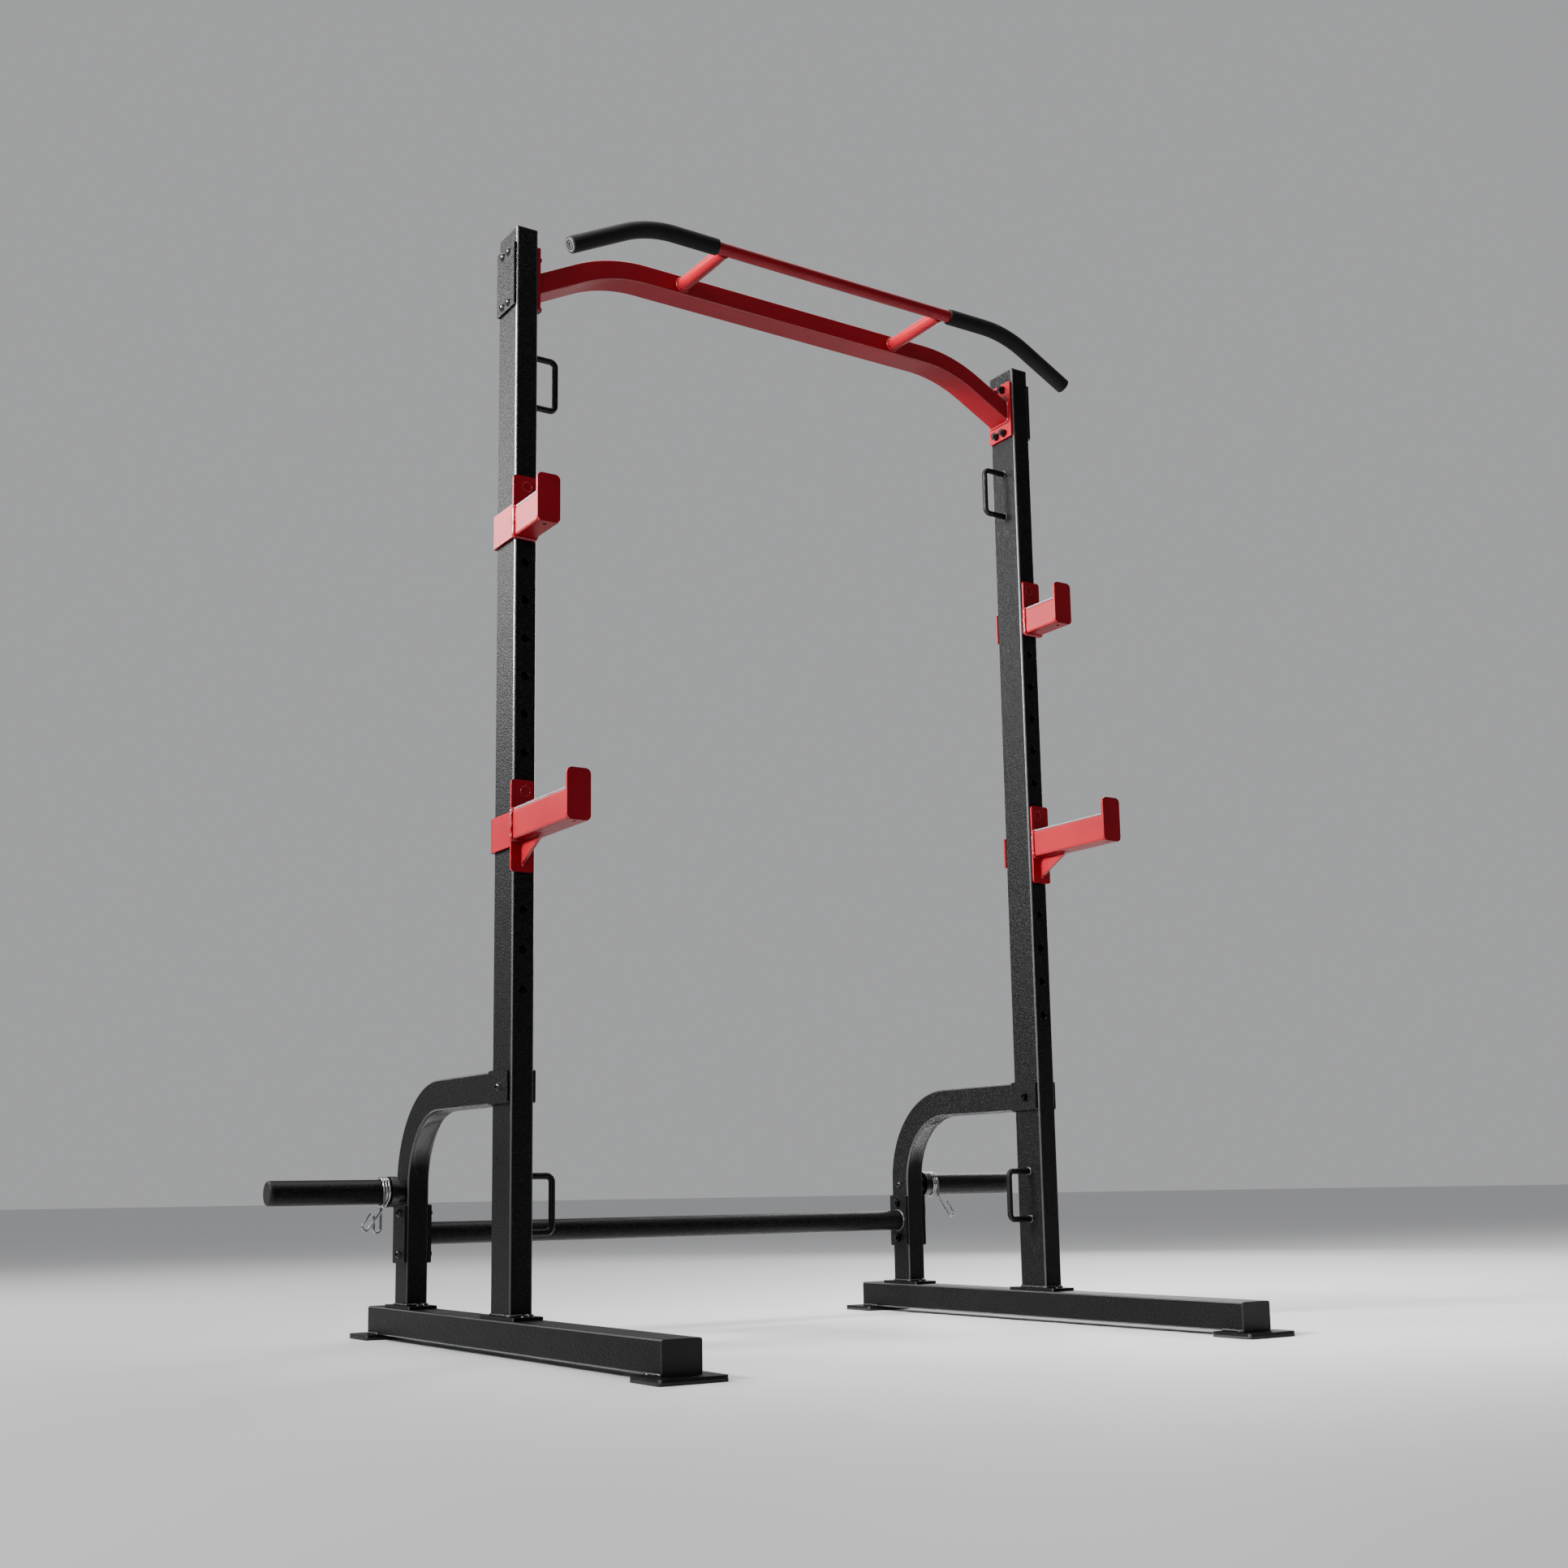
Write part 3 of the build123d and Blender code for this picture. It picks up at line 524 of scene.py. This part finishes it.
def loop_bead(centre, normal, width, height, corner, bead):
    """A bead round a square tube where it meets a plate with that normal.

    Width and height lie along X and Z on a plate that faces Y, X and Y on one that faces Z, Z and Y on one
    that faces X.
    """
    rings = 4 * max(3, round(corner * tau / 4 / bead_step))
    clear_hand()
    bpy.ops.mesh.primitive_torus_add(
        major_segments=rings, minor_segments=bead_sides, major_radius=corner, minor_radius=bead,
        rotation=(0, 0, pi / rings),
    )
    place_in_mesh()
    edit()
    for axis, half in ((0, width / 2 - corner), (1, height / 2 - corner)):
        if half < bead_step:
            continue
        shift = Vector((half, 0, 0)) if axis == 0 else Vector((0, half, 0))
        for way in (-1, 1):
            pick("verts", lambda v: v.co[axis] * way > 0)
            bpy.ops.transform.translate(value=tuple(way * shift))
        pick("edges", lambda e: abs(e.verts[0].co[axis] - e.verts[1].co[axis]) > half)
        bpy.ops.mesh.subdivide(number_cuts=max(1, round(2 * half / bead_step)))
    edit(False)
    piece = bpy.context.object
    piece.rotation_euler, piece.location = bead_turns[normal], centre
    place_in_mesh()
    return rippled(piece, bead)


def round_bead(centre, normal, across, bead):
    """A bead round a round tube or rod."""
    return loop_bead(centre, normal, across, across, across / 2, bead)


def straight_bead(start, end, bead):
    """A bead along a straight seam, with round ends."""
    start, end = Vector(start), Vector(end)
    way = end - start
    clear_hand()
    bpy.ops.mesh.primitive_uv_sphere_add(segments=bead_sides, ring_count=7, radius=bead)
    place_in_mesh()
    edit()
    pick("verts", lambda v: v.co.z > near)
    bpy.ops.transform.translate(value=(0, 0, way.length))
    pick("edges", lambda e: abs(e.verts[0].co.z - e.verts[1].co.z) > way.length / 2)
    bpy.ops.mesh.subdivide(number_cuts=max(1, round(way.length / bead_step)))
    edit(False)
    piece = bpy.context.object
    piece.rotation_mode = "QUATERNION"
    piece.rotation_quaternion = way.to_track_quat("Z", "Y")
    piece.location = start
    place_in_mesh()
    return rippled(piece, bead)


def weld(beads, name, body, slot):
    """Joins beads into one piece."""
    take(beads)
    bpy.ops.object.join()
    return settle(beads[0], name, body, slot, bead_smooth)


def frame_beads():
    """Black beads: feet of the upright and brace, fork, cross tube, handles, foot plates."""
    foot_z, corner = footing_top + foot_lift, square_tube_corner
    beads = [
        loop_bead((upright_x, 0, foot_z), "z", upright_width, upright_depth, corner, foot_bead),
        loop_bead((upright_x, brace_y, foot_z), "z", upright_width, brace_depth, corner, foot_bead),
        loop_bead((upright_x, fork_y, fork_z), "y", upright_width, brace_depth, corner, frame_bead),
        round_bead((end_plate_x, brace_y, cross_tube_z), "x", cross_tube_across, frame_bead),
    ]
    for height in handle_heights:
        beads.append(round_bead((upright_x - upright_width / 2, 0, height), "x", handle_rod, frame_bead))
    for end in (-1, 1):
        for side in (-1, 1):
            x = upright_x + side * foot_seam_side
            start, stop = ((x, end * y, foot_seam_z) for y in foot_seam_ends)
            beads.append(straight_bead(start, stop, foot_plate_bead))
    return beads


def crossbar_beads():
    """Red beads: crossbar end and the foot of the stub."""
    crossbar_end = (end_plate_x, 0, crossbar_z)
    return [
        loop_bead(crossbar_end, "x", crossbar_height, crossbar_depth, crossbar_corner, crossbar_bead),
        round_bead((stub_x, stub_foot_y, bar_z), "y", stub_across, stub_bead),
    ]


def hook_beads(pin_z, arm_fall, gusset=False):
    """Red beads of a cup or spotter: round its arm, round its pin, and the gusset's edges and tip."""
    under = pin_z - arm_fall
    arm_foot = (hook_middle_x, hook_plate_front - arm_lift, under + hook_arm_middle)
    beads = [
        loop_bead(arm_foot, "y", hook_arm_width, hook_arm_height, hook_arm_corner, arm_bead),
        round_bead((upright_x, hook_plate_front - pin_lift, pin_z), "y", hook_pin_across, pin_bead),
    ]
    if gusset:
        for side in (-1, 1):
            x = hook_middle_x + side * gusset_half_width
            start, stop = ((x, hook_plate_front - reach, under - gusset_lift) for reach in gusset_ends)
            beads.append(straight_bead(start, stop, gusset_bead))
        tip_y, tip_z = hook_plate_front - gusset_tip_lift, under - gusset_drop
        start, stop = ((hook_middle_x, tip_y, z) for z in (tip_z, tip_z - gusset_tip_run))
        beads.append(straight_bead(start, stop, gusset_tip_bead))
    return beads


frame_weld = weld(frame_beads(), "frame_weld_right", "frame", "black_powder")
crossbar_weld = weld(crossbar_beads(), "crossbar_weld_right", "frame", "red_paint")
settle(other_side(frame_weld), "frame_weld_left", "frame", "black_powder", bead_smooth)
settle(other_side(crossbar_weld), "crossbar_weld_left", "frame", "red_paint", bead_smooth)
cup_weld = weld(hook_beads(cup_pin_z, cup_arm_fall), "j_cup_weld_right", "j_cup_right", "red_paint")
settle(other_side(cup_weld), "j_cup_weld_left", "j_cup_left", "red_paint", bead_smooth)
for side, pin_z in spotter_pin_z.items():
    beads = hook_beads(pin_z, spotter_arm_fall, gusset=True)
    spotter_weld = weld(beads, f"spotter_weld_{side}", f"spotter_{side}", "red_paint")
    if side == "left":
        mirror(spotter_weld.data)


# Floor
clear_hand()
bpy.ops.mesh.primitive_circle_add(vertices=128, radius=90, fill_type="NGON")
floor = bpy.context.object
floor.name = "floor"
floor.data.materials.append(floor_paint())

# Light: a soft backdrop, brighter behind the rack than in front of it, and five softboxes
world = bpy.data.worlds.new("studio")
world.use_nodes = True
bpy.context.scene.world = world
sky = Nodes(world.node_tree)
_, depth, _ = sky.parts(sky.node("ShaderNodeTexCoord", out="Generated"))
strength = sky.node(
    "ShaderNodeMapRange", None,
    {"Value": depth, "From Min": -0.5, "From Max": 0.5, "To Min": 0.22, "To Max": 0.44},
)
backdrop = sky.node("ShaderNodeBackground", None, {"Color": (0.90, 0.91, 0.93, 1), "Strength": strength})
sky.node("ShaderNodeOutputWorld", None, {"Surface": backdrop})


def softbox(name, place, aim, size, power, spread=180):
    light = bpy.data.lights.new(name, "AREA")
    light.shape, light.size, light.size_y = "RECTANGLE", size[0], size[1]
    light.energy, light.spread = power, radians(spread)
    lamp = bpy.data.objects.new(name, light)
    lamp.location = place
    lamp.rotation_euler = (Vector(aim) - Vector(place)).to_track_quat("-Z", "Y").to_euler()
    bpy.context.scene.collection.objects.link(lamp)


softbox("key_left_rear", (-2.6, 3.2, 2.9), aim=(-0.4, 0, 1.5), size=(1.5, 0.9), power=96)
softbox("left", (-3.5, 0.4, 2.8), aim=(-0.3, 0, 1.9), size=(1.8, 1.4), power=155, spread=55)
softbox("left_front", (-3.4, -2.2, 1.8), aim=(-0.3, 0, 1.2), size=(0.8, 2.4), power=24)
softbox("top", (0.2, 0.6, 4.6), aim=(0, 0, 0), size=(3.4, 3.4), power=95)
softbox("back_right", (3.2, 2.8, 2.4), aim=(0, 0, 1.2), size=(1.4, 2.2), power=70)

# Camera: low on the left in front of the rack, looking up
yaw, pitch, roll = radians(33.21), radians(9.27), radians(-0.93)
ahead = Vector((sin(yaw) * cos(pitch), cos(yaw) * cos(pitch), sin(pitch)))
across = Vector((cos(yaw), -sin(yaw), 0))
over = across.cross(ahead)
camera_right = across * cos(roll) + over * sin(roll)
camera_up = over * cos(roll) - across * sin(roll)
stand = Matrix((camera_right, camera_up, -ahead)).transposed().to_4x4()
stand.translation = (-2.04682, -3.09233, 0.27856)
camera = bpy.data.objects.new("camera", bpy.data.cameras.new("camera"))
bpy.context.scene.collection.objects.link(camera)
camera.matrix_world = stand
camera.data.sensor_width = 36
camera.data.lens = 43.081
camera.data.shift_y = 0.0642
camera.data.clip_end = 200
bpy.context.scene.camera = camera
